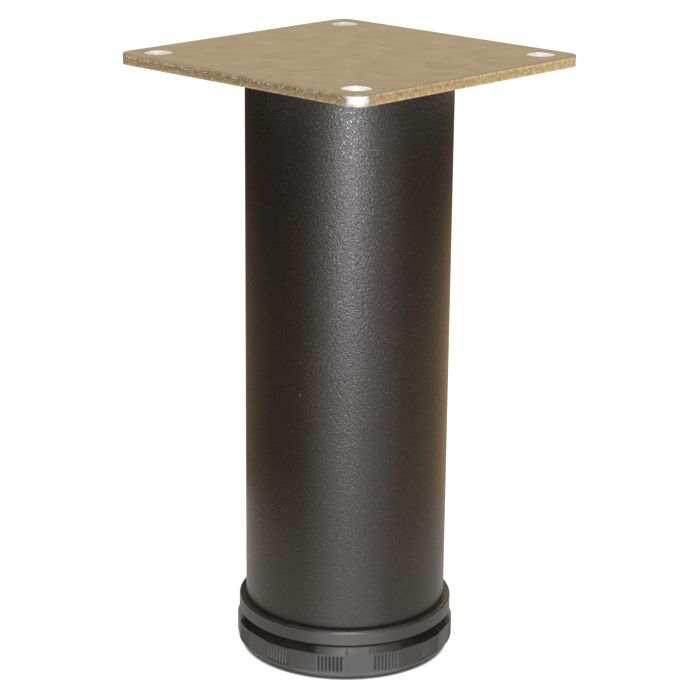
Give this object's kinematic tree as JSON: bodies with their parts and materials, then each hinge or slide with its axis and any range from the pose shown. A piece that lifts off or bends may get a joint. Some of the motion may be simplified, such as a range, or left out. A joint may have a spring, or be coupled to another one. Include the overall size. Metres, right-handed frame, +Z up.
{
  "type": "cabinet leg",
  "caption": "Round black steel cabinet leg under a square zinc-plated screw plate, with a moulded foot that screws in and out to level it.",
  "frame": {"origin": "centre of the foot's underside, on the floor", "axes": "+Z up along the tube, X and Y along the edges of the screw plate"},
  "size_m": [0.078, 0.078, 0.15],
  "materials": {
    "yellow_zinc": "yellow-passivated zinc",
    "black_powder_coat": "fine-texture powder coat",
    "black_plastic": "semi-matte moulding",
    "bright_zinc": "clear zinc"
  },
  "bodies": {
    "leg": {"top_plate": "yellow_zinc", "plate_spigot": "yellow_zinc", "leg_tube": "black_powder_coat", "tube_plug": "black_plastic", "captive_nut": "bright_zinc"},
    "spindle": {"spindle": "bright_zinc"},
    "foot": {"foot_knob": "black_plastic"}
  },
  "joints": [
    {"name": "foot_height", "type": "slide", "parent": "leg", "child": "spindle", "axis": [0, 0, -1], "range_m": [-0.0002, 0.015]},
    {"name": "foot_turn", "type": "hinge", "parent": "spindle", "child": "foot", "pos_m": [0, 0, 0], "axis": [0, 0, -1], "range_deg": [-48, 3600]}
  ],
  "couplings": [
    {"joint": "foot_height", "follows": "foot_turn", "m_per_rad": 0.00023873}
  ]
}
